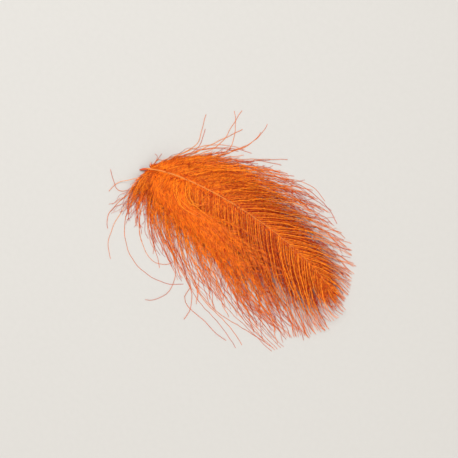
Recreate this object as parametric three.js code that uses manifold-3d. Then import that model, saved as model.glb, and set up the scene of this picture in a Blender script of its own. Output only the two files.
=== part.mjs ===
import * as THREE from 'three';
import Module from 'manifold-3d';

// A cul de canard feather lying on a flat surface with its hollow side down.
// Millimetres, +Z up. +X runs from the quill to the tip and +Y is the side of the narrow vane.
// The origin is on the surface, under the middle of the feather's box.

// Shaft: a bowed and arched curve given by its two ends and the two points that it leans towards.
const QUILL = new THREE.Vector3(0, 0, 0.36);
const QUILL_LEAN = new THREE.Vector3(6, 6.4, 4.8);
const TIP_LEAN = new THREE.Vector3(39.4, 6.8, 6.4);
const TIP = new THREE.Vector3(50.9, 0.8, 0.7);
const QUILL_RADIUS = 0.36;
const TIP_RADIUS = 0.09;
const SHAFT_TAPER = 2.2;
const SHAFT_SIDES = 8;
const SHAFT_STEPS = 22;

// Vanes: the barbs gather into pointed locks. Each lock leaves the shaft at a station t of the curve.
// Headings are in degrees from +X at the root, the middle and the tip of the lock.
const STATIONS = [0.08, 0.14, 0.22, 0.35, 0.5, 0.65, 0.8, 0.92, 1];
const LEFT_VANE = {
  side: 1,
  locks: 22,
  width: 2.3,
  puff: 0.7,
  length: [12, 19, 25.5, 27, 24.5, 20, 13, 8, 5],
  root: [72, 62, 54, 46, 38, 30, 20, 8, -6],
  middle: [44, 38, 33, 28, 23, 16, 8, -3, -15],
  tip: [30, 20, 10, 4, 0, -2, -6, -12, -20],
};
const RIGHT_VANE = {
  side: -1,
  locks: 26,
  width: 2.5,
  puff: 0.9,
  length: [11, 18, 25.5, 32, 33, 26.5, 18.5, 11, 6.5],
  root: [-112, -92, -72, -58, -55, -51, -48, -46, -36],
  middle: [-92, -66, -53, -48, -45, -43, -41, -39, -32],
  tip: [-60, -38, -24, -15, -16, -26, -34, -35, -30],
};
const FIRST_LOCK = 0.085;
const LAST_LOCK = 0.99;
const LOCK_STEPS = 8;
const LOCK_CROWDING = 1.14;
const LOCK_THICKNESS = 1.05;
const LOCK_TIP_THICKNESS = 0.3;
const LANDING = 0.66;
const SHAFT_GAP = 0.06;
const SLIVER = 0.02;
const WALL_REACH = 3;
const WALL_HEIGHT = 20;
const WALL_OVERRUN = 12;

// Stray barbs: thin wisps that leave the vane's outline. Headings are at even steps along the wisp.
const WISP_WIDTH = 0.6;
const WISP_THICKNESS = 0.45;
const WISP_STEPS = 12;
const LEFT_WISPS = [
  { t: 0.093, length: 19, headings: [80, 50, 60, 110, 105] },
  { t: 0.093, length: 26, headings: [70, 40, 50, 95, 85] },
  { t: 0.099, length: 22.5, headings: [65, 45, 60, 60, 60] },
  { t: 0.13, length: 24.5, headings: [70, 45, 30, 105, 130] },
  { t: 0.142, length: 28, headings: [75, 30, 50, 60, 95] },
  { t: 0.17, length: 28.5, headings: [60, 35, 35, 30] },
  { t: 0.27, length: 25.5, headings: [60, 35, 25, 25] },
  { t: 0.36, length: 30, headings: [60, 45, 25, 20, -30] },
];
const RIGHT_WISPS = [
  { t: 0.085, length: 11, headings: [-95, -135, -135, -90] },
  { t: 0.085, length: 14.5, headings: [-80, -110, -120, -225, -220] },
  { t: 0.09, length: 17.5, headings: [-85, -110, -105, -95, -40] },
  { t: 0.093, length: 23.5, headings: [-80, -100, -95, -75, -35] },
  { t: 0.112, length: 30, headings: [-95, -95, -55, -25, 15] },
  { t: 0.131, length: 25, headings: [-80, -85, -60, -35, 30] },
  { t: 0.17, length: 34.5, headings: [-75, -60, -25, -70, -160] },
  { t: 0.207, length: 35.5, headings: [-85, -60, -30, -30, -95] },
  { t: 0.237, length: 43, headings: [-85, -50, -35, -35, 10] },
  { t: 0.27, length: 42.5, headings: [-70, -55, -40, -10, -25] },
  { t: 0.29, length: 47.5, headings: [-70, -55, -35, 5, -5] },
];

const SHAFT_COLOUR = 0xf0864a;
const LEFT_COLOUR = 0xe8691f;
const RIGHT_COLOUR = 0xe2611a;

const wasm = await Module();
wasm.setup();

const shaftCurve = new THREE.CubicBezierCurve3(QUILL, QUILL_LEAN, TIP_LEAN, TIP);

const shaftRadius = (t) => TIP_RADIUS + (QUILL_RADIUS - TIP_RADIUS) * (1 - t) ** SHAFT_TAPER;

// Value of a table at place x, where the table's entries stand at the given stations.
function tableAt(stations, values, x) {
  let i = 1;
  while (i < stations.length - 1 && x > stations[i]) i += 1;
  const f = (x - stations[i - 1]) / (stations[i] - stations[i - 1]);
  return THREE.MathUtils.lerp(values[i - 1], values[i], f);
}

// The same for a list whose entries stand at even steps from 0 to 1.
function evenAt(values, x) {
  const stations = values.map((v, i) => i / (values.length - 1));
  return tableAt(stations, values, x);
}

// Closed solid from rings of points with equal counts, each end closed by a fan.
function ringSolid(rings) {
  const sides = rings[0].length;
  const index = [];
  for (let r = 0; r < rings.length - 1; r += 1) {
    for (let s = 0; s < sides; s += 1) {
      const a = r * sides + s;
      const b = r * sides + ((s + 1) % sides);
      index.push(a, b, b + sides, a, b + sides, a + sides);
    }
  }
  const last = (rings.length - 1) * sides;
  for (let s = 1; s < sides - 1; s += 1) {
    index.push(0, s + 1, s);
    index.push(last, last + s, last + s + 1);
  }
  const geometry = new THREE.BufferGeometry().setFromPoints(rings.flat());
  geometry.setIndex(index);
  return geometry;
}

function toManifold(geometry) {
  const vertProperties = new Float32Array(geometry.attributes.position.array);
  const triVerts = new Uint32Array(geometry.index.array);
  return new wasm.Manifold(new wasm.Mesh({ numProp: 3, vertProperties, triVerts }));
}

function toGeometry(solid) {
  const mesh = solid.getMesh();
  const geometry = new THREE.BufferGeometry();
  geometry.setAttribute('position', new THREE.BufferAttribute(mesh.vertProperties, 3));
  geometry.setIndex(new THREE.BufferAttribute(mesh.triVerts, 1));
  geometry.computeVertexNormals();
  return geometry;
}

// Points of a strand on the underside of its lock: it sets out from the shaft, turns through its
// headings, rises by its puff and comes down to lie on the surface from the landing place on.
function strandPoints(t, length, headings, steps, rise, landing) {
  const point = shaftCurve.getPoint(t);
  const points = [];
  const rootHeight = Math.max(point.z - rise.drop, 0);
  for (let i = 0; i <= steps; i += 1) {
    const q = i / steps;
    const down = 1 - THREE.MathUtils.smoothstep(q, 0, landing);
    const bulge = Math.sin(Math.PI * Math.min(q / landing, 1)) ** 2;
    points.push(new THREE.Vector3(point.x, point.y, rootHeight * down + rise.puff * bulge));
    const heading = THREE.MathUtils.degToRad(evenAt(headings, Math.min(q + 0.5 / steps, 1)));
    point.x += (length / steps) * Math.cos(heading);
    point.y += (length / steps) * Math.sin(heading);
  }
  return points;
}

// A blade along the points, flat below with a ridge along its back, tapering to its tip.
function blade(points, width, thickness, tipThickness) {
  const steps = points.length - 1;
  const rings = points.map((p, i) => {
    const q = i / steps;
    const ahead = points[Math.min(i + 1, steps)];
    const behind = points[Math.max(i - 1, 0)];
    const across = new THREE.Vector3(behind.y - ahead.y, ahead.x - behind.x, 0).normalize();
    const half = 0.5 * width * Math.max(1 - q ** 3, 0.06);
    const ridge = THREE.MathUtils.lerp(thickness, tipThickness, q);
    return [
      p.clone().addScaledVector(across, half),
      p.clone().add(new THREE.Vector3(0, 0, ridge)),
      p.clone().addScaledVector(across, -half),
    ];
  });
  return ringSolid(rings);
}

// Upright wall along the shaft: it clears the shaft on the vane's own side, and takes off what the
// roots of the locks reach across to the other side.
function shaftWall(side) {
  const rings = [];
  const ring = (p, along, half) => {
    const across = new THREE.Vector3(-along.y, along.x, 0).normalize();
    const left = across.clone().multiplyScalar(side > 0 ? half : WALL_REACH);
    const right = across.clone().multiplyScalar(side > 0 ? -WALL_REACH : -half);
    const low = new THREE.Vector3(0, 0, -WALL_HEIGHT);
    const high = new THREE.Vector3(0, 0, WALL_HEIGHT);
    rings.push([
      p.clone().add(left).add(low),
      p.clone().add(left).add(high),
      p.clone().add(right).add(high),
      p.clone().add(right).add(low),
    ]);
  };
  const start = shaftCurve.getTangent(0);
  const end = shaftCurve.getTangent(1);
  ring(QUILL.clone().addScaledVector(start, -WALL_OVERRUN), start, QUILL_RADIUS + SHAFT_GAP);
  for (let i = 0; i <= SHAFT_STEPS; i += 1) {
    const t = i / SHAFT_STEPS;
    ring(shaftCurve.getPoint(t), shaftCurve.getTangent(t), shaftRadius(t) + SHAFT_GAP);
  }
  ring(TIP.clone().addScaledVector(end, WALL_OVERRUN), end, TIP_RADIUS + SHAFT_GAP);
  return toManifold(ringSolid(rings));
}

function shaftGeometry() {
  const rings = [];
  const ring = (p, along, radius) => {
    const across = new THREE.Vector3(-along.y, along.x, 0).normalize();
    const up = along.clone().normalize().cross(across);
    const points = [];
    for (let s = 0; s < SHAFT_SIDES; s += 1) {
      const angle = (2 * Math.PI * (s + 0.5)) / SHAFT_SIDES;
      const out = across.clone().multiplyScalar(radius * Math.cos(angle));
      points.push(p.clone().add(out).addScaledVector(up, radius * Math.sin(angle)));
    }
    rings.push(points);
  };
  for (let i = 0; i <= SHAFT_STEPS; i += 1) {
    const t = i / SHAFT_STEPS;
    ring(shaftCurve.getPoint(t), shaftCurve.getTangent(t), shaftRadius(t));
  }
  return ringSolid(rings);
}

// One vane: its locks and stray wisps joined into one body, open along the shaft. The body's outer
// skin is kept, so small pockets shut in between crossing locks are filled.
function vaneGeometry(vane, wisps) {
  const blades = [];
  for (let i = 0; i < vane.locks; i += 1) {
    const place = (i / (vane.locks - 1)) ** LOCK_CROWDING;
    const t = THREE.MathUtils.lerp(FIRST_LOCK, LAST_LOCK, place);
    const vary = Math.sin(i * 2.4);
    const length = tableAt(STATIONS, vane.length, t) * (1 + 0.05 * vary);
    const headings = [vane.root, vane.middle, vane.tip].map((h) => tableAt(STATIONS, h, t));
    headings[2] += 4 * Math.sin(i * 1.7);
    const rise = { drop: 0.5 * LOCK_THICKNESS, puff: vane.puff * (1 + 0.4 * vary) };
    const points = strandPoints(t, length, headings, LOCK_STEPS, rise, LANDING);
    const width = vane.width * THREE.MathUtils.lerp(1, 0.6, t ** 3);
    blades.push(blade(points, width, LOCK_THICKNESS, LOCK_TIP_THICKNESS));
  }
  for (const wisp of wisps) {
    const rise = { drop: 0.5 * LOCK_THICKNESS, puff: vane.puff };
    const landing = (LANDING * tableAt(STATIONS, vane.length, wisp.t)) / wisp.length;
    const points = strandPoints(wisp.t, wisp.length, wisp.headings, WISP_STEPS, rise, landing);
    blades.push(blade(points, WISP_WIDTH, WISP_THICKNESS, WISP_THICKNESS));
  }
  const joined = blades.map(toManifold).reduce((whole, one) => whole.add(one));
  const shells = joined.subtract(shaftWall(vane.side)).simplify(SLIVER).decompose();
  return toGeometry(shells.reduce((big, one) => (one.volume() > big.volume() ? one : big)));
}

function piece(name, geometry, color, roughness) {
  const material = new THREE.MeshStandardMaterial({ color, roughness, metalness: 0 });
  const mesh = new THREE.Mesh(geometry, material);
  mesh.name = name;
  return mesh;
}

const feather = new THREE.Group();
feather.add(piece('shaft', shaftGeometry(), SHAFT_COLOUR, 0.4));
feather.add(piece('left_vane', vaneGeometry(LEFT_VANE, LEFT_WISPS), LEFT_COLOUR, 0.7));
feather.add(piece('right_vane', vaneGeometry(RIGHT_VANE, RIGHT_WISPS), RIGHT_COLOUR, 0.7));

const box = new THREE.Box3().setFromObject(feather, true);
const middle = box.getCenter(new THREE.Vector3());
feather.position.set(-middle.x, -middle.y, -box.min.z);

export default feather;
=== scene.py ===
"""Orange cul de canard feather: a bowed shaft, two vanes of fine fuzzy barbs, and a plain stage."""
import math

import bpy
import numpy as np
from bpy.props import FloatProperty, FloatVectorProperty, IntProperty, PointerProperty
from bpy.types import Operator, Panel, PropertyGroup
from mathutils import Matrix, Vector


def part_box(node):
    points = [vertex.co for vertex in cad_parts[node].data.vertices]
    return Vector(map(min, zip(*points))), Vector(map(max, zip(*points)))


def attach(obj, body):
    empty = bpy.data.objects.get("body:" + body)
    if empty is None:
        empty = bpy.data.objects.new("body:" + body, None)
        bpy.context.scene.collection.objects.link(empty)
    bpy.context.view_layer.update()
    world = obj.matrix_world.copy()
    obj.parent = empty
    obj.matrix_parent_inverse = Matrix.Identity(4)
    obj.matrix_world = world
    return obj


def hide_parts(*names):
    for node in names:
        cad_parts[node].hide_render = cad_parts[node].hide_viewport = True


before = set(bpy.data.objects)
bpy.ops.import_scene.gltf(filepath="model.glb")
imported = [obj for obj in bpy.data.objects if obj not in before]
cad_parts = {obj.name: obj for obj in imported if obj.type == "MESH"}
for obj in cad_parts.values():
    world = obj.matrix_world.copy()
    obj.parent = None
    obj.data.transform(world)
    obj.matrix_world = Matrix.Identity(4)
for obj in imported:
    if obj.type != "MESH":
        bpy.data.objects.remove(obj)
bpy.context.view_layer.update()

bl_info = {
    "name": "Cul de canard feather",
    "version": (1, 0, 0),
    "blender": (4, 5, 0),
    "location": "3D View > Sidebar > Feather",
    "description": "Grows a dyed cul de canard feather barb by barb and lays it on a plain stage",
    "category": "Object",
}

BODY = "root"
UV_NAME = "OFBake"
MM = 0.001

# Shaft, in millimetres from the quill's end: the two ends and the points that the curve leans towards.
QUILL = np.array([0.0, 0.0, 0.36])
QUILL_LEAN = np.array([6.0, 6.4, 4.8])
TIP_LEAN = np.array([39.4, 6.8, 6.4])
TIP = np.array([50.9, 0.8, 0.7])
QUILL_RADIUS = 0.36
TIP_RADIUS = 0.09
SHAFT_TAPER = 2.2
CAD_SIDES = 8
CAD_STEPS = 22
CAD_TURN = 0.5

# Vanes. By the stations on the shaft: a barb's length in millimetres and its headings in degrees from +X.
# By the width places: the vane's width in millimetres. The puff is its swell in millimetres, the slit a
# stretch of the shaft with short barbs. The share scales the numbers of upper and under barbs, the spread
# sets them wider towards the tip, far_thick thickens them there, and web_reach scales their web by the
# web places. Rim and band are numbers of barbs.
NO_SLIT = (2, 2)
STATIONS = [0.08, 0.14, 0.22, 0.35, 0.5, 0.65, 0.8, 0.92, 1]
VANES = {
    "left": {
        "side": 1,
        "seed": 11,
        "fuzz_seed": 31,
        "puff": 0.7,
        "slit": NO_SLIT,
        "share": (0.95, 1.2),
        "spread": 0.72,
        "far_thick": 1.1,
        "web_reach": (1.0, 1.0, 0.9, 0.9),
        "length": [14, 20, 25.5, 27, 24.5, 20, 13, 8, 5],
        "root": [53, 53, 51, 46, 38, 30, 20, 8, -6],
        "middle": [42, 38, 33, 28, 23, 16, 8, -3, -15],
        "tip": [32, 21, 10, 4, 0, -2, -6, -12, -20],
        "width": [1.5, 2.5, 5, 9, 10.7, 11.9, 10.7, 7.4],
        "web": (0.45, 0.8),
        "under_web": (0.75, 1.1),
        "under_thick": (0.6, 0.9),
        "rim": 18,
        "band": 0,
        "fluff": {
            "count": 14, "start": 58, "turn": -18, "scatter": 8, "limits": (20, 66), "lengths": (6, 15)},
        "tuft": {"count": 5, "ways": (-20, -8), "lengths": (5.0, 5.6)},
    },
    "right": {
        "side": -1,
        "seed": 23,
        "fuzz_seed": 47,
        "puff": 0.9,
        "slit": (0.846, 0.894),
        "share": (1.0, 1.0),
        "spread": 0.36,
        "far_thick": 1.15,
        "web_reach": (1.4, 1.1, 1.45, 1.2),
        "length": [11, 18.5, 27, 34, 33.5, 26.5, 18.5, 11.5, 6.4],
        "root": [-112, -80, -68, -60, -58, -56, -56, -58, -40],
        "middle": [-92, -62, -46, -37, -34, -33, -40, -46, -16],
        "tip": [-60, -38, -24, -19, -22, -38, -20, -2, -4],
        "width": [9, 11, 16, 19, 20.6, 20.9, 20, 18],
        "web": (0.5, 0.7),
        "under_web": (0.55, 0.8),
        "under_thick": (0.55, 0.85),
        "rim": 62,
        "band": 54,
        "fluff": {
            "count": 96, "start": -82, "turn": 14, "scatter": 20, "limits": (-110, -44),
            "lengths": (4.5, 14.5)},
        "tuft": {"count": 6, "ways": (-30, -8), "lengths": (4.6, 5.8)},
    },
}
VANE_START = 0.078
LOCK_THICKNESS = 1.05
LOCK_TIP_THICKNESS = 0.3
LANDING = 0.7
WIDTH_PLACES = [0, 0.1, 0.2, 0.35, 0.5, 0.7, 0.85, 1]
WEB_PLACES = [0.14, 0.26, 0.5, 0.8]

# Stray barbs: place on the shaft, length in millimetres, headings at even steps along the barb.
STRAYS = {
    "left": [
        (0.093, 19, [80, 50, 60, 110, 105]),
        (0.105, 16, [75, 55, 45, 90, 115]),
        (0.093, 26, [70, 40, 50, 95, 85]),
        (0.099, 22.5, [65, 45, 60, 60, 60]),
        (0.13, 26.5, [70, 45, 30, 110, 135]),
        (0.142, 28, [75, 30, 50, 60, 95]),
        (0.152, 25, [70, 40, 45, 50, 95]),
        (0.17, 28.5, [60, 35, 35, 30]),
        (0.207, 25.5, [60, 35, 40, 15]),
        (0.27, 25.5, [60, 35, 25, 25]),
        (0.087, 4.0, [110, 85, 85, 120, 200]),
        (0.087, 4.2, [110, 85, 85, 95, 80]),
        (0.087, 4.1, [110, 85, 80, 30, -20]),
        (0.36, 30, [60, 45, 25, 20, -30]),
        (0.3, 38, [48, 38, 22, -2, -34]),
        (0.093, 22.5, [64, 58, 50, 32, 12]),
        (0.1, 20.5, [64, 56, 46, 34, 20]),
        (0.105, 23.5, [62, 56, 46, 30, 8]),
    ],
    "right": [
        (0.08, 11, [-95, -135, -135, -90]),
        (0.08, 14.5, [-80, -110, -120, -225, -220]),
        (0.085, 17.5, [-85, -110, -105, -95, -40]),
        (0.093, 23.5, [-80, -100, -95, -75, -35]),
        (0.112, 36.5, [-95, -90, -45, -5, 40]),
        (0.131, 27, [-80, -85, -55, -30, 60]),
        (0.142, 23, [-90, -65, -40, -45]),
        (0.17, 34.5, [-75, -60, -25, -70, -160]),
        (0.207, 35.5, [-85, -60, -30, -30, -95]),
        (0.262, 43, [-73, -57, -40, -14, -24]),
        (0.27, 42.5, [-70, -55, -40, -10, -25]),
        (0.29, 47.5, [-70, -55, -35, 5, -5]),
        (0.842, 15.2, [-57, -57, -48, -14, -6]),
        (0.897, 11.5, [-57, -57, -44, -6, -2]),
    ],
}

# Soft band of the right vane: headings by the millimetres along its barbs, their lengths, the places of
# their roots on the shaft, and their scatter and wander in degrees.
BAND_PLACES = [0, 2, 5, 8, 11, 16, 24, 36, 46]
BAND_HEADINGS = [-68, -64, -38, -8, -4, -10, -12, -8, -14]
BAND_LENGTHS = (13, 42)
BAND_ROOTS = (0.1, 0.27)
BAND_STATIONS = 13
BAND_SCATTER = 5
BAND_WANDER = 2.5

# Curls that lie on the band's start: place on the shaft, length in millimetres, headings at even steps.
CURLS = [
    (0.222, 14.0, [-62, -62, -46, -26, -4, 8, 4, -4]),
    (0.234, 12.5, [-62, -60, -45, -28, -6, 8, 6]),
    (0.24, 11.0, [-60, -60, -48, -26, -8, 6, 8]),
    (0.28, 9.6, [-55, -68, -52, -22, 4, 50, 85]),
    (0.288, 9.2, [-55, -66, -45, -18, 6, 40, 70]),
    (0.296, 11.0, [-58, -64, -44, -16, 0, -4, -8]),
]

# Bunch of long barbs on the right rim: their number, and for the first and the last of them the place on
# the shaft, the length in millimetres and the headings at even steps.
BUNCH = 5
BUNCH_FIRST = (0.31, 45, [-65, -50, -30, -12, -9])
BUNCH_LAST = (0.41, 39.5, [-58, -46, -32, -20, -12])

# Stray of the right vane whose sharp bend makes a loop with its neighbour: start on the shaft, length in
# millimetres, and headings by the millimetres along it.
LOOP_START = 0.215
LOOP_LENGTH = 44.0
LOOP_PLACES = [0, 7, 15, 22, 26.6, 27.6, 29, 30.5, 32, 34.5, 37, 39.5, 41.5, 45]
LOOP_HEADINGS = [-79, -63, -43, -27, -17, -128, -90, -46, -18, -4, -8, -22, -4, 2]

# Photograph: how the feather lies in its frame.
PHOTO_PIXELS = 458
MM_PER_PIXEL = 0.229
QUILL_PIXEL = (139.4, 169.7)
SHAFT_TILT = math.radians(32.8)

UP = np.array([0.0, 0.0, 1.0])
STRAND_STEPS = 34
STRAND_SIDES = 4
SPINE_POINTS = 81
LISTED_STATIONS = 9
UV_MARGIN = 0.03
UV_WIDTH = 0.01

# Barbs: their roots, off the shaft's line in shares of its radius, and the stretches of a barb over which
# it leaves the root's height, finds its layer, and takes up a sway and a crinkle of spans in millimetres.
ROOT_OUT = 0.5
ROOT_DOWN = 0.3
ROOT_RISE = (0, 0.06)
LAYER_RISE = (0, 0.2)
SWAY_RISE = (0.05, 0.4)
SWAY_SPANS = (9, 18)
CRINKLE_RISE = (0.15, 0.6)
CRINKLE_SPANS = (2.6, 4.6)
FLOOR_GAP = 0.01

# Kinds of barb: sway and crinkle in degrees, then the ranges that each barb draws from: its layer in the
# vane's thickness, its tone, its shares of a barb's radius, of a barbule's length and of the vane's puff,
# and the share of its length that carries web.
LOOKS = {
    "rim": (5, 6, (0.1, 1.0), (0.0, 0.8), (0.65, 0.9), (0.5, 0.8), (0.6, 1.2), (0.3, 0.5)),
    "stray": (2, 5, (0.1, 0.6), (0.4, 0.75), (1.0, 1.25), (0.5, 2.0), (0.8, 1.0), (0.1, 0.3)),
    "fluff": (12, 22, (0.1, 1.0), (0.0, 0.7), (0.55, 0.9), (0.3, 0.6), (0.3, 1.0), (0.1, 0.35)),
    "tuft": (2, 4, (0.2, 1.0), (0.3, 1.0), (0.9, 1.2), (0.8, 1.2), (0.2, 0.4), (0.5, 0.9)),
    "band": (4, 7, (0.8, 1.05), (0.7, 1.0), (0.45, 0.75), (1.2, 2.2), (1.05, 1.25), (0.9, 1.2)),
    "curl": (2, 5, (1.3, 1.45), (0.85, 1.0), (1.0, 1.3), (1.4, 2.0), (1.4, 1.5), (0.1, 0.3)),
    "bunch": (2, 5, (0.3, 0.8), (0.4, 0.75), (0.9, 1.1), (0.5, 1.2), (0.8, 1.0), (0.2, 0.4)),
    "loop": (0, 2, (0.1, 0.6), (0.4, 0.75), (1.0, 1.25), (0.5, 1.2), (0.8, 1.0), (0.1, 0.3)),
}

# Ordered barbs: their share of the vane's length as a range at the quill and one at the tip, how loose
# they lie, and the ranges as above. Then where each may stand in its own space, the places on the shaft
# over which share, radius and order change, and in degrees what calm barbs are off by and loose ones add.
# Painted shade: the under barbs draw darker tones than the upper ones, for the shade below the upper
# layer.
ORDERED = {
    "upper": {
        "share": ((0.88, 1.02), (0.95, 1.02)), "loose": 1.0, "layer": (0.6, 1.0), "tone": (0.35, 1.0),
        "thick": (0.9, 1.2), "fuzz": (0.8, 1.2), "swell": (0.8, 1.3)},
    "under": {
        "share": ((0.5, 0.92), (0.6, 0.96)), "loose": 2.0, "layer": (0.05, 0.6), "tone": (0.0, 0.7),
        "fuzz": (0.8, 1.2), "swell": (0.1, 0.9)},
}
COMB_ROOM = (0.3, 0.7)
SHARE_PLACES = (0.35, 0.75)
THICK_PLACES = (0.45, 0.75)
ORDER = 0.75
ORDER_PLACES = (0.4, 0.9)
CALM_STAGGER = np.array([1, 1.5, 5])
LOOSE_STAGGER = np.array([0, 2.5, 8])
CALM_SWAY = 2
LOOSE_SWAY = 6
CALM_CRINKLE = 5
LOOSE_CRINKLE = 6
SLIT_SHARE = 0.6

# Rim barbs, fluff and tuft: places on the shaft, shares of a length, bends and scatter in degrees.
RIM_PLACES = (0.12, 0.5)
RIM_BEND = np.array([0, 0, 2])
RIM_MORE_BEND = np.array([0, 4, 16])
RIM_SCATTER = 3
RIM_SHARES = (0.92, 1.13)
RIM_LOSS = 0.12
RIM_LOSS_PLACES = (0.38, 0.48)
FLUFF_END = 0.12
FLUFF_STATIONS = 4
FLUFF_SCATTER = 12
TUFT_START = 0.955
TUFT_SCATTER = 2
TUFT_SHARES = (0.9, 1.15)

# Barbules: stretches of the shaft that make one piece each, the bare start of a barb in millimetres, and
# the ends of the part of a barb that carries them.
FUZZ_STRETCHES = (("base", 0.0, 0.28), ("middle", 0.28, 0.58), ("tip", 0.58, 1.01))
BARE_ROOT = 0.08
FUZZ_ENDS = (0.004, 0.985)

# Form of a barbule: mean and spread of its lean from the barb, more lean at the root, the spread of its
# droop, the share of the lean past the elbow, and shares of its length. The lowest height is in
# millimetres, and the rise a slope.
LEAN = np.radians((36, 8))
ROOT_LEAN = np.radians(40)
LEAN_LIMITS = (0.12, 1.5)
DROOP_SPREAD = np.radians(18)
BEND = 0.55
ELBOW = 0.35
ARCH = 0.05
WIDEST = 0.2
FUZZ_LENGTHS = (0.6, 1.25)
FUZZ_WIDTHS = (0.8, 1.2)
FUZZ_LOWEST = 0.03
STEEPEST_RISE = 0.3

# Nap and web: the fade along the barb, the shade with its gain by the barb's tone and its chance spread,
# the droop in degrees, and the clumps, whose size is in millimetres. The web is felted near the quill. The
# web's low shade is painted shade in the gaps under the barbs, and the felt's gain makes that painted
# shade less deep near the quill.
NAP_FADE = (0.12, 0.58)
NAP_SHADE = 0.5
NAP_TONE = 0.4
NAP_CHANCE = 0.12
NAP_DROOP = 12
NAP_TAPER = 0.5
WEB_FADE = 0.4
WEB_SHADE = 0.08
WEB_TONE = 0.42
WEB_CHANCE = 0.16
WEB_DROOP = 14
WEB_WIDTH = 1.9
FELT_PLACES = (0.3, 0.55)
FELT_SHADE = 0.28
FELT_LIFT = 20
CLUMP = 0.5
CLUMP_CONTRAST = 0.24

# Dye and painted light: darkest and lightest tone, and ramps, each from a range to the range that it
# becomes. The barbs' lighter tones hold painted highlight and the fuzz's darker ones painted shade, and
# the warmth ramp turns light tones yellower and dark ones redder as painted highlight and shade.
BARB_TONES = (0.46, 1.32)
FUZZ_TONES = (0.30, 1.22)
INNER_RAMP = (0.03, 0.4, 0, 1)
OUTER_RAMP = (0.5, 0.95, 0, 1)
WARMTH_RAMP = (0.0, 0.9, 0.478, 0.512)
MOTTLE_RAMP = (0.32, 0.68, 0.76, 1.14)
ROUGH_RAMP = (0.25, 0.75, 0.42, 0.62)
MOTTLE_STRETCH = (60, 40, 1)
MOTTLE_DETAIL = 2.0
DOWN_SHINE = 0.12

# Horn of the shaft: sides and steps of its mesh. Shares of the shaft's radius: the cut end, the gain and
# the loss past it over their places, the cut's rim. In millimetres: the cut's depth, the tip's point.
HORN_SIDES = 20
HORN_STEPS = 130
CUT_GIRTH = 0.45
CUT_GAIN = 0.4
CUT_GAIN_PLACES = (0, 0.035)
CUT_LOSS = 0.25
CUT_LOSS_PLACES = (0.06, 0.12)
CUT_RIM = 0.62
CUT_DEPTH = 0.25
POINT_LENGTH = 0.2

# Horn's UV map: the margin at the sides and the rows from the cut's hollow to the tip's point. Colours
# and streaks lie on it, and the bump is in millimetres.
HORN_MARGIN = 0.02
HOLLOW_ROW = 0.02
RIM_ROW = 0.035
CUT_ROW = 0.05
END_ROW = 0.95
POINT_ROW = 0.97
HORN_STOPS = (
    (0.02, "quill_red"), (0.095, "quill_red"), (0.12, "shaft_pale"), (0.3, "shaft_pale"),
    (0.6, "shaft_far"), (1.0, "shaft_far"))
STREAK_STRETCH = (14, 60, 1)
STREAK_DETAIL = 4.0
STREAK_DEPTH = 0.3
HORN_SHINE = 0.35
HORN_ROUGH = (0.28, 0.5)
BUMP_STRENGTH = 0.15
BUMP_HEIGHT = 0.05

# Stage: half the floor's side in metres and its paper, the sky, and each light's place and size in
# metres, its power in watts and its tint.
FLOOR_HALF = 1.5
FLOOR_GRAIN = 900
FLOOR_SHADE = 0.96
FLOOR_SHINE = 0.2
FLOOR_ROUGHNESS = 0.9
SKY_TINT = (1, 0.95, 0.88, 1)
SKY_STRENGTH = 0.58
LIGHTS = {
    "key": ((-0.2, 0.1, 0.46), 0.3, 1.9, (0.98, 0.99, 1)),
    "fill": ((0.35, -0.25, 0.35), 0.4, 0.9, (1, 0.98, 0.95)),
}

# Camera: lens and sensor in millimetres, nearest distance in metres, and the height in millimetres where
# a pixel has its size.
LENS = 100
SENSOR = 36
NEAREST = 0.01
VIEW_HEIGHT = 1.5


def smoothstep(x, low, high):
    """Eased ramp from 0 at low to 1 at high."""
    f = np.clip((x - low) / (high - low), 0, 1)
    return f * f * (3 - 2 * f)


def unit(v):
    """Vectors of length one along the last axis."""
    return v / np.maximum(np.linalg.norm(v, axis=-1, keepdims=True), 1e-9)


def stacked(*parts):
    """The parts, spread to their common shape, side by side along a new last axis."""
    return np.stack(np.broadcast_arrays(*parts), -1)


def shaft_point(t):
    """Cubic curve from the quill to the tip, weighted by the four control points."""
    t = np.asarray(t, float)[..., None]
    s = 1 - t
    return s**3 * QUILL + 3 * t * s**2 * QUILL_LEAN + 3 * t**2 * s * TIP_LEAN + t**3 * TIP


def shaft_tangent(t):
    """Unit direction of the shaft's curve, from the differences of its control points."""
    t = np.asarray(t, float)[..., None]
    s = 1 - t
    d = s**2 * (QUILL_LEAN - QUILL) + 2 * t * s * (TIP_LEAN - QUILL_LEAN) + t**2 * (TIP - TIP_LEAN)
    return unit(d)


def shaft_radius(t):
    """Radius that falls from the quill to the tip as a power of the way that is left."""
    return TIP_RADIUS + (QUILL_RADIUS - TIP_RADIUS) * (1 - np.asarray(t, float)) ** SHAFT_TAPER


def side_and_up(tangent):
    """Level sideways direction and the one square to it and to the tangent."""
    side = unit(stacked(-tangent[..., 1], tangent[..., 0], 0.0))
    return side, np.cross(tangent, side)


def rings_around(centre, tangent, radius, sides, turn=0):
    """Round rings of points at even angles, square to the tangent at each centre."""
    side, up = side_and_up(tangent)
    angle = (2 * np.pi * (np.arange(sides) + turn) / sides)[:, None]
    ring = np.cos(angle) * side[..., None, :] + np.sin(angle) * up[..., None, :]
    return centre[..., None, :] + radius[..., None, None] * ring


def shaft_rings(t, sides, turn):
    """Rings of the shaft's own radius, one for each t."""
    return rings_around(shaft_point(t), shaft_tangent(t), shaft_radius(t), sides, turn)


def frame_shift():
    """Millimetres from the quill's end to the frame's origin: the shaft's box is laid on its solid's."""
    rings = shaft_rings(np.linspace(0, 1, CAD_STEPS + 1), CAD_SIDES, CAD_TURN).reshape(-1, 3)
    low, high = (np.array(corner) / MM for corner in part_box("shaft"))
    return (low + high - rings.min(0) - rings.max(0)) / 2


SHIFT = frame_shift()


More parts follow.
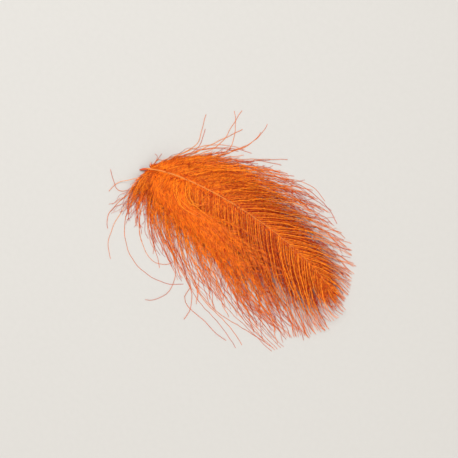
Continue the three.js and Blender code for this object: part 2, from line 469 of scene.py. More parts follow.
class FeatherShape(PropertyGroup):
    """Sizes of the feather's barbs and of their fuzz."""

    barbs: IntProperty(
        name="Barbs", description="Upper barbs on each side of the shaft", default=108, min=20, max=160)
    under_barbs: IntProperty(
        name="Under barbs", description="Lower barbs on each side of the shaft",
        default=200, min=0, max=300)
    barb_radius: FloatProperty(
        name="Barb radius", description="Radius of a barb at its root",
        default=0.000054, unit="LENGTH", precision=6)
    barb_taper: FloatProperty(
        name="Barb taper", description="Share of its radius that a barb keeps at its tip",
        default=0.76, subtype="FACTOR")
    nap_density: FloatProperty(
        name="Nap density", description="Short barbules on each millimetre of a barb", default=8.0)
    nap_length: FloatProperty(
        name="Nap length", description="Length of the short barbules",
        default=0.00017, unit="LENGTH", precision=6)
    web_density: FloatProperty(
        name="Web density", description="Long barbules on each millimetre of a barb's inner part",
        default=8.0)
    web_length: FloatProperty(
        name="Web length", description="Length of the long barbules that fill the gaps near the shaft",
        default=0.00085, unit="LENGTH", precision=6)
    fuzz_width: FloatProperty(
        name="Fuzz width", description="Half of a barbule's width at its elbow",
        default=0.000022, unit="LENGTH", precision=6)


def swatch(name, description, default):
    """Colour property with its default."""
    return FloatVectorProperty(
        name=name, description=description, default=default, subtype="COLOR", size=3, min=0, max=1)


class FeatherColours(PropertyGroup):
    """Colours of the dyed horn and down, and of the floor. The barbs are set lighter and yellower than the
    fuzz as painted highlight, and the fuzz redder as painted shade.
    """

    barb_root: swatch("Barb root", "Colour of a barb beside the shaft", (1.0, 0.26, 0.022))
    barb_middle: swatch("Barb middle", "Colour of a barb halfway along", (1.0, 0.265, 0.024))
    barb_tip: swatch("Barb tip", "Colour of a barb's thin end", (0.86, 0.155, 0.032))
    fuzz_root: swatch("Inner fuzz", "Colour of the down beside the shaft", (0.96, 0.155, 0.007))
    fuzz_middle: swatch("Middle fuzz", "Colour of the down halfway along", (0.95, 0.15, 0.007))
    fuzz_tip: swatch("Outer fuzz", "Colour of the down at the barbs' ends", (0.84, 0.135, 0.027))
    shaft_pale: swatch("Shaft", "Colour of the shaft's horn near the quill", (1.0, 0.32, 0.05))
    shaft_far: swatch("Shaft tip", "Colour of the shaft's horn near its tip", (1.0, 0.31, 0.045))
    quill_red: swatch("Quill end", "Colour of the quill's cut end", (0.78, 0.12, 0.04))
    floor: swatch("Floor", "Colour of the plain floor", (0.61, 0.60, 0.58))


def turn_paths(root, length, headings, sway, crinkle, rng):
    """Plan of many strands: each heading is interpolated between its even stations, a slow sway and a
    short crinkle are added away from the root, and the place is the running sum of equal steps."""
    middle = (np.arange(STRAND_STEPS) + 0.5) / STRAND_STEPS
    stations = np.linspace(0, 1, headings.shape[1])
    weights = np.clip(1 - np.abs(middle[:, None] - stations) * (len(stations) - 1), 0, 1)
    heading = headings @ weights.T

    def wave(size, spans):
        span = rng.uniform(*spans, len(length))[:, None]
        start = rng.random(len(length))[:, None]
        return size[:, None] * np.sin(2 * np.pi * (middle * length[:, None] / span + start))

    heading = heading + smoothstep(middle, *SWAY_RISE) * wave(sway, SWAY_SPANS)
    heading = heading + smoothstep(middle, *CRINKLE_RISE) * wave(crinkle, CRINKLE_SPANS)
    heading = np.radians(heading)
    step = (length / STRAND_STEPS)[:, None, None]
    steps = step * stacked(np.cos(heading), np.sin(heading))
    begin = np.zeros_like(steps[:, :1])
    return root[:, None, :2] + np.concatenate([begin, np.cumsum(steps, 1)], 1)


def strand_heights(vane, plan, root_height, puff, layer):
    """Height along many strands by the distance from the shaft: from the shaft's height the vane swells
    by its puff, comes down to the surface at its landing, and each strand keeps to its own layer of the
    vane's thickness, which falls towards the rim."""
    t = np.linspace(0, 1, SPINE_POINTS)
    spine = shaft_point(t)
    apart = np.linalg.norm(plan[:, :, None] - spine[:, :2], axis=-1)
    nearest = apart.argmin(-1)
    share = apart.min(-1) / np.interp(t[nearest], WIDTH_PLACES, vane["width"])
    fall = share / LANDING
    above = np.maximum(spine[nearest, 2] - LOCK_THICKNESS / 2, 0)
    swell = puff[:, None] * np.sin(np.pi * np.clip(fall, 0, 1)) ** 2
    under = above * (1 - smoothstep(fall, 0, 1)) + swell
    thick = LOCK_THICKNESS + (LOCK_TIP_THICKNESS - LOCK_THICKNESS) * np.clip(share, 0, 1)
    q = np.linspace(0, 1, STRAND_STEPS + 1)
    level = 0.5 + (layer[:, None] - 0.5) * smoothstep(q, *LAYER_RISE)
    height = under + thick * level
    start = root_height[:, None]
    return start + (height - start) * smoothstep(q, *ROOT_RISE)


def vane_tables(vane, t):
    """Length and the three headings of the vane's barbs at the places t."""
    length = np.interp(t, STATIONS, vane["length"])
    headings = stacked(*(np.interp(t, STATIONS, vane[k]) for k in ("root", "middle", "tip")))
    return length, headings


def grow(vane, rng, t, length, headings, sway, crinkle, layer, tone, thick, fuzz, swell, web):
    """Strands from the places t on the shaft. The last six are ranges to draw from, one value a strand."""
    side = vane["side"]
    count = len(t)
    across, _ = side_and_up(shaft_tangent(t))
    girth = shaft_radius(t)[:, None]
    root = shaft_point(t) + girth * (ROOT_OUT * side * across - ROOT_DOWN * UP)
    plan = turn_paths(root, length, headings, sway * np.ones(count), crinkle * np.ones(count), rng)
    puff = vane["puff"] * rng.uniform(*swell, count)
    height = strand_heights(vane, plan, root[:, 2], puff, rng.uniform(*layer, count))
    return {
        "path": np.concatenate([plan, height[..., None]], -1),
        "t": t,
        "length": length,
        "tone": rng.uniform(*tone, count),
        "thick": rng.uniform(*thick, count),
        "fuzz": rng.uniform(*fuzz, count),
        "web": rng.uniform(*web, count),
    }


def comb(vane, rng, count, share, loose, **look):
    """Barbs in order along the vane, set wider and more evenly towards the tip, each a little off its
    neighbours. The share of the table's length is a range at the quill and one at the tip, and the barbs
    of the slit are shorter."""
    even = (np.arange(count) + rng.uniform(*COMB_ROOM, count)) / count
    t = VANE_START + (1 - VANE_START) * (even + vane["spread"] * even * (even - 1))
    length, headings = vane_tables(vane, t)
    disorder = 1 - ORDER * smoothstep(t, *ORDER_PLACES)
    stagger = CALM_STAGGER + LOOSE_STAGGER * disorder[:, None]
    headings = headings + loose * rng.normal(0, 1, (count, 3)) * stagger
    at_quill, at_tip = np.array(share)
    low, high = (at_quill + (at_tip - at_quill) * smoothstep(t, *SHARE_PLACES)[:, None]).T
    length = length * rng.uniform(low, high)
    in_slit = (t > vane["slit"][0]) & (t < vane["slit"][1])
    length = np.where(in_slit, SLIT_SHARE * length, length)
    sway = CALM_SWAY + LOOSE_SWAY * disorder
    crinkle = CALM_CRINKLE + LOOSE_CRINKLE * disorder
    strands = grow(vane, rng, t, length, headings, sway, crinkle, **look)
    strands["thick"] *= 1 + (vane["far_thick"] - 1) * smoothstep(t, *THICK_PLACES)
    strands["web"] *= np.interp(t, WEB_PLACES, vane["web_reach"])
    return strands


def rim_barbs(vane, rng, count):
    """Long barbs that bend forward and run along the vane's rim, the excess length falling off by the
    last of them."""
    t = rng.uniform(*RIM_PLACES, count)
    length, headings = vane_tables(vane, t)
    bend = RIM_BEND + RIM_MORE_BEND * rng.random(count)[:, None]
    headings = headings - vane["side"] * bend
    headings = headings + rng.normal(0, RIM_SCATTER, headings.shape)
    least, most = RIM_SHARES
    length = length * rng.uniform(least, most - RIM_LOSS * smoothstep(t, *RIM_LOSS_PLACES))
    return grow(vane, rng, t, length, headings, *LOOKS["rim"])


def band_barbs(vane, rng, count):
    """Downy barbs near the quill that bow out, turn forward and lie along the vane as a soft band."""
    t = rng.uniform(*BAND_ROOTS, count)
    length = rng.uniform(*BAND_LENGTHS, count)
    along = np.linspace(0, 1, BAND_STATIONS) * length[:, None]
    headings = np.interp(along, BAND_PLACES, BAND_HEADINGS) + rng.normal(0, BAND_SCATTER, (count, 1))
    headings = headings + np.cumsum(rng.normal(0, BAND_WANDER, headings.shape), 1)
    return grow(vane, rng, t, length, headings, *LOOKS["band"])


def base_fluff(vane, rng, count, start, turn, scatter, limits, lengths):
    """Curly down beside the quill: each heading starts near the first value, turns and wanders."""
    t = rng.uniform(VANE_START, FLUFF_END, count)
    wander = np.cumsum(rng.normal(0, scatter, (count, FLUFF_STATIONS)), 1)
    turned = np.linspace(start, start + turn, FLUFF_STATIONS)
    headings = turned + rng.normal(0, FLUFF_SCATTER, count)[:, None] + wander
    middle, half = np.mean(limits), np.ptp(limits) / 2
    headings = middle + half * np.tanh((headings - middle) / half)
    return grow(vane, rng, t, rng.uniform(*lengths, count), headings, *LOOKS["fluff"])


def listed_barbs(vane, rng, listed, look):
    """The barbs of a table, their headings brought to even stations."""
    t, length = (np.array(column, float) for column in list(zip(*listed))[:2])
    even = np.linspace(0, 1, LISTED_STATIONS)
    headings = np.stack([np.interp(even, np.linspace(0, 1, len(turns)), turns) for _, _, turns in listed])
    return grow(vane, rng, t, length, headings, *look)


def rim_bunch(vane, rng):
    """Long barbs side by side on the rim, changed evenly from the first of them to the last."""
    t, length, headings = (np.linspace(*ends, BUNCH) for ends in zip(BUNCH_FIRST, BUNCH_LAST))
    return grow(vane, rng, t, length, headings, *LOOKS["bunch"])


def looped_barb(vane, rng):
    """The one stray with a sharp bend, its headings interpolated along its length."""
    along = np.linspace(0, LOOP_LENGTH, STRAND_STEPS + 1)
    headings = np.interp(along, LOOP_PLACES, LOOP_HEADINGS)[None]
    return grow(vane, rng, np.array([LOOP_START]), np.array([LOOP_LENGTH]), headings, *LOOKS["loop"])


def tip_tuft(vane, rng, count, ways, lengths):
    """Short barbs fanned around the shaft's end, their lengths changing across the fan."""
    t = rng.uniform(TUFT_START, 1.0, count)
    headings = np.linspace(*ways, count)[:, None] + rng.normal(0, TUFT_SCATTER, (count, 3))
    length = np.linspace(*lengths, count) * rng.uniform(*TUFT_SHARES, count)
    return grow(vane, rng, t, length, headings, *LOOKS["tuft"])


def vane_strands(name, shape):
    """Every barb of one vane: paths, place on the shaft, tone, thickness and fuzz, in millimetres."""
    vane = VANES[name]
    rng = np.random.default_rng(vane["seed"])
    upper, under = (round(s * n) for s, n in zip(vane["share"], (shape.barbs, shape.under_barbs)))
    layers = [
        comb(vane, rng, upper, web=vane["web"], **ORDERED["upper"]),
        comb(vane, rng, under, web=vane["under_web"], thick=vane["under_thick"], **ORDERED["under"]),
        rim_barbs(vane, rng, vane["rim"]),
        listed_barbs(vane, rng, STRAYS[name], LOOKS["stray"]),
        base_fluff(vane, rng, **vane["fluff"]),
        tip_tuft(vane, rng, **vane["tuft"]),
    ]
    if vane["band"]:
        layers += [
            band_barbs(vane, rng, vane["band"]),
            listed_barbs(vane, rng, CURLS, LOOKS["curl"]),
            rim_bunch(vane, rng),
            looped_barb(vane, rng),
        ]
    return {key: np.concatenate([layer[key] for layer in layers]) for key in layers[0]}


def ring_quads(rings, sides, u, v):
    """Faces between rings of points that follow one another, with the u and v of their corners, from the
    columns u and the rows v."""
    r, s = np.meshgrid(np.arange(rings - 1), np.arange(sides), indexing="ij")
    a = r * sides + s
    b = r * sides + (s + 1) % sides
    begin, end, low, high = u[s], u[s + 1], v[r], v[r + 1]
    corners = ([a, b, b + sides, a + sides], [begin, end, end, begin], [low, low, high, high])
    return (stacked(*four).reshape(-1, 4) for four in corners)


def tube_mesh(path, radius, tone):
    """Closed tapering tubes: a ring of even sides square to each path point, a pole at each end.
    Every tube has its own thin column of the UV map, and v runs along it."""
    count, rings = path.shape[:2]
    sides = STRAND_SIDES
    tangent = unit(np.gradient(path, axis=1))
    skin = rings_around(path, tangent, radius, sides)
    ends = np.stack([path[:, 0], path[:, -1] + 2 * radius[:, -1:] * tangent[:, -1]], 1)
    points = np.concatenate([skin.reshape(count, -1, 3), ends], 1)
    per = points.shape[1]
    last = (rings - 1) * sides
    one = np.arange(sides)
    two = (one + 1) % sides
    tri = np.concatenate([stacked(per - 2, two, one), stacked(per - 1, last + one, last + two)])
    offset = (np.arange(count) * per)[:, None, None]
    q = UV_MARGIN + (1 - 2 * UV_MARGIN) * np.arange(rings) / (rings - 1)
    column = UV_WIDTH * np.arange(sides + 1) / sides
    quad, quad_u, quad_v = ring_quads(rings, sides, column, q)
    begin, end, half = column[:-1], column[1:], UV_WIDTH / 2
    tri_u = np.concatenate([stacked(half, end, begin), stacked(half, begin, end)])
    below = [q[0] - UV_WIDTH, q[0], q[0]]
    above = [q[-1] + UV_WIDTH, q[-1], q[-1]]
    tri_v = np.repeat([below, above], sides, axis=0)
    start = (UV_MARGIN + (1 - 2 * UV_MARGIN - UV_WIDTH) * tone)[:, None, None]
    quad_uv = stacked(start + quad_u, quad_v)
    tri_uv = stacked(start + tri_u, tri_v)
    return (points.reshape(-1, 3), (quad + offset).reshape(-1, 4), (tri + offset).reshape(-1, 3),
            np.concatenate([quad_uv.reshape(-1, 2), tri_uv.reshape(-1, 2)]))


def fuzz_places(strands, density, fade, rng):
    """Even places with a little chance along every strand, thinned out between each strand's two shares
    of its length in the fade."""
    per_strand = (strands["length"] * density).astype(int)
    owner = np.repeat(np.arange(len(per_strand)), per_strand)
    first = np.repeat(np.cumsum(per_strand) - per_strand, per_strand)
    total = len(owner)
    q = (np.arange(total) - first + rng.random(total)) / per_strand[owner]
    bare = q * strands["length"][owner] < BARE_ROOT
    keep = (rng.random(total) > smoothstep(q, fade[0][owner], fade[1][owner])) & ~bare
    return owner[keep], np.clip(q[keep], *FUZZ_ENDS)


def fuzz_mesh(strands, owner, q, reach, width, droop, tone, rng):
    """Barbules as closed slim blades of four points: from its place on the barb each one leans out to
    an elbow of its full width and bends on towards the barb's tip, the elbow standing over the line
    from end to end. It lies along the vane even where the barb climbs steeply from its root. The droop
    is the mean angle below the barb's own level."""
    total = len(owner)
    at = q * STRAND_STEPS
    low = np.minimum(at.astype(int), STRAND_STEPS - 1)
    here, there = strands["path"][owner, low], strands["path"][owner, low + 1]
    base = here + (there - here) * (at - low)[:, None]
    way = there - here
    way[:, 2] = np.minimum(way[:, 2], STEEPEST_RISE * np.linalg.norm(way[:, :2], axis=1))
    along = unit(way)
    side, up = side_and_up(along)
    hand = np.where(rng.random(total) < 0.5, -1.0, 1.0)
    tilt = rng.normal(-droop, DROOP_SPREAD, total)
    out = hand[:, None] * np.cos(tilt)[:, None] * side + np.sin(tilt)[:, None] * up
    lean = rng.normal(*LEAN, total) + ROOT_LEAN * (1 - smoothstep(q, *ROOT_RISE))
    lean = np.clip(lean, *LEAN_LIMITS)
    reach = reach * strands["fuzz"][owner] * rng.uniform(*FUZZ_LENGTHS, total)
    first_way = np.cos(lean)[:, None] * along + np.sin(lean)[:, None] * out
    next_way = np.cos(lean * BEND)[:, None] * along + np.sin(lean * BEND)[:, None] * out
    elbow = base + ELBOW * reach[:, None] * first_way
    tip = elbow + (1 - ELBOW) * reach[:, None] * next_way
    base[:, 2] = np.maximum(base[:, 2], FUZZ_LOWEST)
    tip[:, 2] = np.maximum(tip[:, 2], FUZZ_LOWEST)
    elbow[:, 2] = (1 - ELBOW) * base[:, 2] + ELBOW * tip[:, 2] + ARCH * reach
    across, _ = side_and_up(unit(tip - base))
    width = np.minimum(width * rng.uniform(*FUZZ_WIDTHS, total), WIDEST * reach)[:, None] * across
    points = np.stack([base, elbow + width, elbow - width, tip], 1)
    tri = np.array([[0, 2, 1], [3, 1, 2], [0, 1, 3], [2, 0, 3]])
    faces = (tri + 4 * np.arange(total)[:, None, None]).reshape(-1, 3)
    u = UV_MARGIN + (1 - 2 * UV_MARGIN - UV_WIDTH) * np.clip(tone, 0, 1)
    v = UV_MARGIN + (1 - 2 * UV_MARGIN) * q
    du = np.array([0.5, 0, 1, 0.5])[tri] * UV_WIDTH
    dv = np.array([-1, 0, 0, 1])[tri] * UV_WIDTH
    uv = stacked(u[:, None, None] + du, v[:, None, None] + dv)
    return points.reshape(-1, 3), faces, uv.reshape(-1, 2)


def clump_tone(strands, owner, q, rng):
    """Chance lightness, from -1 to 1, that the barbules on one short stretch of a barb share."""
    stretch = (q * strands["length"][owner] / CLUMP).astype(int)
    shades = rng.uniform(-1, 1, (len(strands["t"]), stretch.max() + 1))
    return shades[owner, stretch]


def nap_and_web(strands, shape, rng):
    """Short bright nap that thins out along each barb, and a longer web between its inner part and its
    neighbours, painted darker for the shade in the gaps under the barbs, both in light and dark clumps."""
    width = shape.fuzz_width / MM
    tone = strands["tone"]
    whole = np.ones(len(tone))
    owner, q = fuzz_places(strands, shape.nap_density, [share * whole for share in NAP_FADE], rng)
    shade = NAP_SHADE + NAP_TONE * tone[owner] + CLUMP_CONTRAST * clump_tone(strands, owner, q, rng)
    shade = shade + rng.normal(0, NAP_CHANCE, len(owner))
    reach = shape.nap_length / MM * (1 - NAP_TAPER * q)
    nap = fuzz_mesh(strands, owner, q, reach, width, math.radians(NAP_DROOP), shade, rng)
    owner, q = fuzz_places(strands, shape.web_density, (WEB_FADE * strands["web"], strands["web"]), rng)
    felt = (1 - smoothstep(strands["t"], *FELT_PLACES))[owner]
    # Painted shade: the web's shade starts low for the shade in the gaps under the barbs, and is lifted
    # near the quill by the felt.
    shade = WEB_SHADE + WEB_TONE * tone[owner] + FELT_SHADE * felt
    shade = shade + CLUMP_CONTRAST * clump_tone(strands, owner, q, rng)
    shade = shade + rng.normal(0, WEB_CHANCE, len(owner))
    droop = np.radians(WEB_DROOP - FELT_LIFT * felt)
    web = fuzz_mesh(strands, owner, q, shape.web_length / MM, WEB_WIDTH * width, droop, shade, rng)
    return (np.concatenate([nap[0], web[0]]), np.concatenate([nap[1], web[1] + len(nap[0])]),
            np.concatenate([nap[2], web[2]]))


def add_piece(name, points, quads, tris, uv, material, node, smooth=True):
    """A finished piece from arrays of points in millimetres from the quill, faces and UV corners."""
    mesh = bpy.data.meshes.new(name)
    mesh.vertices.add(len(points))
    mesh.vertices.foreach_set("co", ((points + SHIFT) * MM).astype(np.float32).ravel())
    corners = np.concatenate([quads.ravel(), tris.ravel()])
    mesh.loops.add(len(corners))
    mesh.loops.foreach_set("vertex_index", corners.astype(np.int32))
    starts = np.concatenate([4 * np.arange(len(quads)), 4 * len(quads) + 3 * np.arange(len(tris))])
    mesh.polygons.add(len(starts))
    mesh.polygons.foreach_set("loop_start", starts.astype(np.int32))
    mesh.polygons.foreach_set("use_smooth", np.full(len(starts), smooth))
    layer = mesh.uv_layers.new(name=UV_NAME)
    layer.data.foreach_set("uv", uv.astype(np.float32).ravel())
    mesh.update(calc_edges=True)
    if mesh.validate():
        raise RuntimeError(f"{name} has faulty faces")
    mesh.materials.append(material)
    piece = bpy.data.objects.new(name, mesh)
    bpy.context.scene.collection.objects.link(piece)
    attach(piece, BODY)
    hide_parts(node)


def new_material(name, shine):
    """Material of the given shine, with its nodes, links and shader."""
    material = bpy.data.materials.new(name)
    material.use_nodes = True
    tree = material.node_tree
    shader = tree.nodes["Principled BSDF"]
    shader.inputs["Specular IOR Level"].default_value = shine
    return material, tree.nodes, tree.links, shader


def uv_place(nodes):
    """Output of the place on the UV map."""
    place = nodes.new("ShaderNodeUVMap")
    place.uv_map = UV_NAME
    return place.outputs["UV"]


def stretched_noise(nodes, links, place, stretch, detail):
    """Noise of some detail over the place, which is stretched first."""
    scale = nodes.new("ShaderNodeVectorMath")
    scale.operation = "MULTIPLY"
    scale.inputs[1].default_value = stretch
    links.new(place, scale.inputs[0])
    noise = nodes.new("ShaderNodeTexNoise")
    noise.inputs["Scale"].default_value = 1.0
    noise.inputs["Detail"].default_value = detail
    links.new(scale.outputs[0], noise.inputs["Vector"])
    return noise.outputs["Fac"]


def dye_and_shade_group():
    """Dye along a strand: root, middle and tip colours by v, lightness and warmth by u, a fine mottle. The
    lightness by u carries painted highlight and shade besides each strand's own tone, and the warmth turns
    light tones yellower and dark ones redder.
    """
    found = bpy.data.node_groups.get("strand_dye_and_shade")
    if found:
        return found
    group = bpy.data.node_groups.new("strand_dye_and_shade", "ShaderNodeTree")
    for way, kind, labels in (
            ("INPUT", "Vector", ("UV",)),
            ("INPUT", "Color", ("Root", "Middle", "Tip")),
            ("INPUT", "Float", ("Darkest", "Lightest")),
            ("OUTPUT", "Color", ("Color",)),
            ("OUTPUT", "Float", ("Roughness",))):
        for label in labels:
            group.interface.new_socket(name=label, in_out=way, socket_type=f"NodeSocket{kind}")
    nodes, links = group.nodes, group.links
    given = nodes.new("NodeGroupInput")
    result = nodes.new("NodeGroupOutput")
    split = nodes.new("ShaderNodeSeparateXYZ")
    links.new(given.outputs["UV"], split.inputs[0])

    def ramp(source, values):
        node = nodes.new("ShaderNodeMapRange")
        node.interpolation_type = "SMOOTHSTEP"
        for label, value in zip(("From Min", "From Max", "To Min", "To Max"), values):
            node.inputs[label].default_value = value
        links.new(source, node.inputs["Value"])
        return node.outputs[0]

    def mix(factor, first, second):
        node = nodes.new("ShaderNodeMix")
        node.data_type = "RGBA"
        links.new(factor, node.inputs["Factor"])
        links.new(first, node.inputs["A"])
        links.new(second, node.inputs["B"])
        return node.outputs["Result"]

    inner = ramp(split.outputs["Y"], INNER_RAMP)
    outer = ramp(split.outputs["Y"], OUTER_RAMP)
    colour = mix(inner, given.outputs["Root"], given.outputs["Middle"])
    colour = mix(outer, colour, given.outputs["Tip"])
    noise = stretched_noise(nodes, links, given.outputs["UV"], MOTTLE_STRETCH, MOTTLE_DETAIL)
    tone = nodes.new("ShaderNodeMapRange")
    links.new(split.outputs["X"], tone.inputs["Value"])
    links.new(given.outputs["Darkest"], tone.inputs["To Min"])
    links.new(given.outputs["Lightest"], tone.inputs["To Max"])
    mottle = ramp(noise, MOTTLE_RAMP)
    value = nodes.new("ShaderNodeMath")
    value.operation = "MULTIPLY"
    links.new(tone.outputs[0], value.inputs[0])
    links.new(mottle, value.inputs[1])
    # Painted highlight and shade: light tones turn yellower, dark ones redder.
    warmth = ramp(split.outputs["X"], WARMTH_RAMP)
    shade = nodes.new("ShaderNodeHueSaturation")
    links.new(warmth, shade.inputs["Hue"])
    links.new(value.outputs[0], shade.inputs["Value"])
    links.new(colour, shade.inputs["Color"])
    links.new(shade.outputs[0], result.inputs["Color"])
    links.new(ramp(noise, ROUGH_RAMP), result.inputs["Roughness"])
    return group


def strand_material(kind, colours, tones):
    """Dyed down with painted highlight and shade: the strand dye on the base colour and roughness, with
    little shine.
    """
    material, nodes, links, shader = new_material(f"{kind}_dye", DOWN_SHINE)
    dye = nodes.new("ShaderNodeGroup")
    dye.node_tree = dye_and_shade_group()
    for part in ("root", "middle", "tip"):
        dye.inputs[part.title()].default_value = (*getattr(colours, f"{kind}_{part}"), 1)
    for label, tone in zip(("Darkest", "Lightest"), tones):
        dye.inputs[label].default_value = tone
    links.new(uv_place(nodes), dye.inputs["UV"])
    links.new(dye.outputs["Color"], shader.inputs["Base Color"])
    links.new(dye.outputs["Roughness"], shader.inputs["Roughness"])
    return material


def horn_material(colours):
    """Dyed horn of the shaft: red at the cut end, pale beyond it, orange to the tip, fine streaks."""
    material, nodes, links, shader = new_material("shaft_horn", HORN_SHINE)
    place = uv_place(nodes)
    split = nodes.new("ShaderNodeSeparateXYZ")
    links.new(place, split.inputs[0])
    ramp = nodes.new("ShaderNodeValToRGB")
    stops = ramp.color_ramp.elements
    places, labels = zip(*HORN_STOPS)
    stops[0].position, *_, stops[1].position = places
    for position in places[1:-1]:
        stops.new(position)
    for stop, label in zip(stops, labels):
        stop.color = (*getattr(colours, label), 1)
    links.new(split.outputs["Y"], ramp.inputs["Fac"])
    noise = stretched_noise(nodes, links, place, STREAK_STRETCH, STREAK_DETAIL)
    streak = nodes.new("ShaderNodeMix")
    streak.data_type = "RGBA"
    streak.blend_type = "MULTIPLY"
    streak.inputs["Factor"].default_value = STREAK_DEPTH
    links.new(ramp.outputs["Color"], streak.inputs["A"])
    links.new(noise, streak.inputs["B"])
    links.new(streak.outputs["Result"], shader.inputs["Base Color"])
    rough = nodes.new("ShaderNodeMapRange")
    rough.inputs["To Min"].default_value, rough.inputs["To Max"].default_value = HORN_ROUGH
    links.new(noise, rough.inputs["Value"])
    links.new(rough.outputs[0], shader.inputs["Roughness"])
    bump = nodes.new("ShaderNodeBump")
    bump.inputs["Strength"].default_value = BUMP_STRENGTH
    bump.inputs["Distance"].default_value = BUMP_HEIGHT * MM
    links.new(noise, bump.inputs["Height"])
    links.new(bump.outputs[0], shader.inputs["Normal"])
    return material


class FEATHER_OT_shaft(Operator):
    """Bare quill and the shaft that tapers on from it"""

    bl_idname = "feather.shaft"
    bl_label = "Shaft"

    def execute(self, context):
        colours = context.scene.feather_colours
        sides, steps = HORN_SIDES, HORN_STEPS
        t = np.linspace(0, 1, steps + 1)
        centre = shaft_point(t)
        blunt = CUT_GIRTH + CUT_GAIN * smoothstep(t, *CUT_GAIN_PLACES)
        blunt = blunt - CUT_LOSS * smoothstep(t, *CUT_LOSS_PLACES)
        rings = centre[:, None] + blunt[:, None, None] * (shaft_rings(t, sides, 0) - centre[:, None])
        tangent = shaft_tangent(t)
        hollow = centre[0] + CUT_DEPTH * tangent[0]
        rim = centre[0] + CUT_RIM * (rings[0] - centre[0])
        point = centre[-1] + POINT_LENGTH * tangent[-1]
        points = np.concatenate([rings.reshape(-1, 3), rim, [hollow], [point]])
        u = HORN_MARGIN + (1 - 2 * HORN_MARGIN) * np.arange(sides + 1) / sides
        v = CUT_ROW + (END_ROW - CUT_ROW) * t
        quads, quad_u, quad_v = ring_quads(steps + 1, sides, u, v)
        one = np.arange(sides)
        two = (one + 1) % sides
        rim_at = (steps + 1) * sides
        quads = np.concatenate([quads, stacked(rim_at + one, rim_at + two, two, one)])
        last = steps * sides
        tris = np.concatenate([
            stacked(rim_at + sides, rim_at + two, rim_at + one),
            stacked(rim_at + sides + 1, last + one, last + two)])
        begin, end = u[:-1], u[1:]
        middle = (begin + end) / 2
        parts = [
            (quad_u, quad_v),
            (stacked(begin, end, end, begin), [RIM_ROW, RIM_ROW, CUT_ROW, CUT_ROW]),
            (stacked(middle, end, begin), [HOLLOW_ROW, RIM_ROW, RIM_ROW]),
            (stacked(middle, begin, end), [POINT_ROW, END_ROW, END_ROW]),
        ]
        uv = np.concatenate([stacked(*part).reshape(-1, 2) for part in parts])
        add_piece("shaft_horn", points, quads, tris, uv, horn_material(colours), "shaft")
        return {"FINISHED"}


class FEATHER_OT_barbs(Operator):
    """Barbs of both vanes, stray ones included"""

    bl_idname = "feather.barbs"
    bl_label = "Barbs"

    def execute(self, context):
        shape, colours = context.scene.feather_shape, context.scene.feather_colours
        material = strand_material("barb", colours, BARB_TONES)
        q = np.linspace(0, 1, STRAND_STEPS + 1)
        taper = 1 - (1 - shape.barb_taper) * q
        for name in VANES:
            strands = vane_strands(name, shape)
            path = strands["path"]
            radius = shape.barb_radius / MM * strands["thick"][:, None] * taper
            path[..., 2] = np.maximum(path[..., 2], radius + FLOOR_GAP)
            points, quads, tris, uv = tube_mesh(path, radius, strands["tone"])
            add_piece(f"{name}_barbs", points, quads, tris, uv, material, f"{name}_vane")
        return {"FINISHED"}


class FEATHER_OT_fuzz(Operator):
    """Barbules of both vanes, in three stretches of the shaft"""

    bl_idname = "feather.fuzz"
    bl_label = "Fuzz"

    def execute(self, context):
        shape, colours = context.scene.feather_shape, context.scene.feather_colours
        material = strand_material("fuzz", colours, FUZZ_TONES)
        for name in VANES:
            strands = vane_strands(name, shape)
            rng = np.random.default_rng(VANES[name]["fuzz_seed"])
            for label, low, high in FUZZ_STRETCHES:
                chosen = (strands["t"] >= low) & (strands["t"] < high)
                some = {k: v[chosen] for k, v in strands.items()}
                points, tris, uv = nap_and_web(some, shape, rng)
                add_piece(f"{name}_fuzz_{label}", points, np.zeros((0, 4), int), tris, uv, material,
                          f"{name}_vane", smooth=False)
        return {"FINISHED"}


def soft_light(name, place, size, power, tint):
    """Square soft light at a place in metres, turned towards the origin."""
    data = bpy.data.lights.new(name, "AREA")
    data.size = size
    data.energy = power
    data.color = tint
    light = bpy.data.objects.new(name, data)
    x, y, z = place
    light.rotation_euler = (math.atan2(math.hypot(x, y), z), 0, math.atan2(x, -y))
    light.location = place
    bpy.context.scene.collection.objects.link(light)


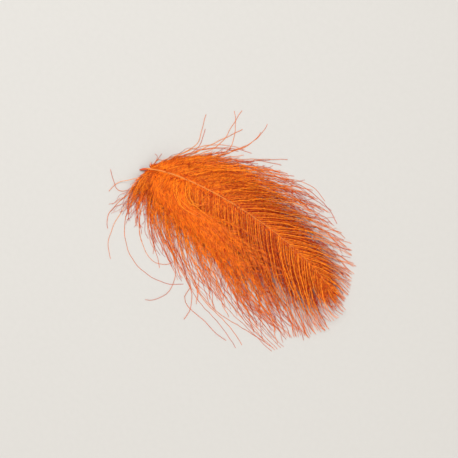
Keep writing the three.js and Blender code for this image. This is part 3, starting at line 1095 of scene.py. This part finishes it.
class FEATHER_OT_stage(Operator):
    """Plain pale floor, soft lights and the camera over the feather"""

    bl_idname = "feather.stage"
    bl_label = "Stage"

    def execute(self, context):
        colours = context.scene.feather_colours
        scene = context.scene
        half = FLOOR_HALF
        corners = [(-half, -half, 0), (half, -half, 0), (half, half, 0), (-half, half, 0)]
        mesh = bpy.data.meshes.new("floor")
        mesh.from_pydata(corners, [], [(0, 1, 2, 3)])
        floor = bpy.data.objects.new("floor", mesh)
        scene.collection.objects.link(floor)
        material, nodes, links, shader = new_material("floor_paper", FLOOR_SHINE)
        shader.inputs["Roughness"].default_value = FLOOR_ROUGHNESS
        place = nodes.new("ShaderNodeTexCoord")
        noise = nodes.new("ShaderNodeTexNoise")
        noise.inputs["Scale"].default_value = FLOOR_GRAIN
        links.new(place.outputs["Object"], noise.inputs["Vector"])
        paper = nodes.new("ShaderNodeMix")
        paper.data_type = "RGBA"
        paper.inputs["A"].default_value = (*colours.floor, 1)
        paper.inputs["B"].default_value = (*(FLOOR_SHADE * c for c in colours.floor), 1)
        links.new(noise.outputs["Fac"], paper.inputs["Factor"])
        links.new(paper.outputs["Result"], shader.inputs["Base Color"])
        mesh.materials.append(material)

        world = bpy.data.worlds.new("studio")
        world.use_nodes = True
        sky = world.node_tree.nodes["Background"]
        sky.inputs["Color"].default_value = SKY_TINT
        sky.inputs["Strength"].default_value = SKY_STRENGTH
        scene.world = world
        for name, light in LIGHTS.items():
            soft_light(name, *light)

        right = np.array([math.cos(SHAFT_TILT), math.sin(SHAFT_TILT)])
        above = np.array([-math.sin(SHAFT_TILT), math.cos(SHAFT_TILT)])
        middle = PHOTO_PIXELS / 2
        centre = MM_PER_PIXEL * ((middle - QUILL_PIXEL[0]) * right - (middle - QUILL_PIXEL[1]) * above)
        data = bpy.data.cameras.new("camera")
        data.lens = LENS
        data.sensor_width = SENSOR
        data.clip_start = NEAREST
        data.dof.use_dof = False
        camera = bpy.data.objects.new("camera", data)
        rise = PHOTO_PIXELS * MM_PER_PIXEL * LENS / SENSOR + VIEW_HEIGHT
        camera.location = (*((centre + SHIFT[:2]) * MM), rise * MM)
        camera.rotation_euler = (0, 0, SHAFT_TILT)
        scene.collection.objects.link(camera)
        scene.camera = camera
        scene.view_settings.view_transform = "Standard"
        return {"FINISHED"}


class FEATHER_PT_panel(Panel):
    """Sizes, colours and steps of the feather"""

    bl_idname = "FEATHER_PT_panel"
    bl_label = "Feather"
    bl_space_type = "VIEW_3D"
    bl_region_type = "UI"
    bl_category = "Feather"

    def draw(self, context):
        layout = self.layout
        for group in (context.scene.feather_shape, context.scene.feather_colours):
            for key in group.bl_rna.properties.keys():
                if key not in {"rna_type", "name"}:
                    layout.prop(group, key)
        for operator in OPERATORS:
            layout.operator(operator.bl_idname)


OPERATORS = (FEATHER_OT_stage, FEATHER_OT_shaft, FEATHER_OT_barbs, FEATHER_OT_fuzz)
CLASSES = (FeatherShape, FeatherColours, *OPERATORS, FEATHER_PT_panel)


def register():
    """Adds the classes and the scene's two groups of settings."""
    for cls in CLASSES:
        bpy.utils.register_class(cls)
    bpy.types.Scene.feather_shape = PointerProperty(type=FeatherShape)
    bpy.types.Scene.feather_colours = PointerProperty(type=FeatherColours)


def unregister():
    """Takes them away again."""
    del bpy.types.Scene.feather_colours
    del bpy.types.Scene.feather_shape
    for cls in reversed(CLASSES):
        bpy.utils.unregister_class(cls)


def main():
    """Makes the stage and the feather."""
    register()
    bpy.ops.feather.stage()
    bpy.ops.feather.shaft()
    bpy.ops.feather.barbs()
    bpy.ops.feather.fuzz()


if __name__ == "__main__":
    main()
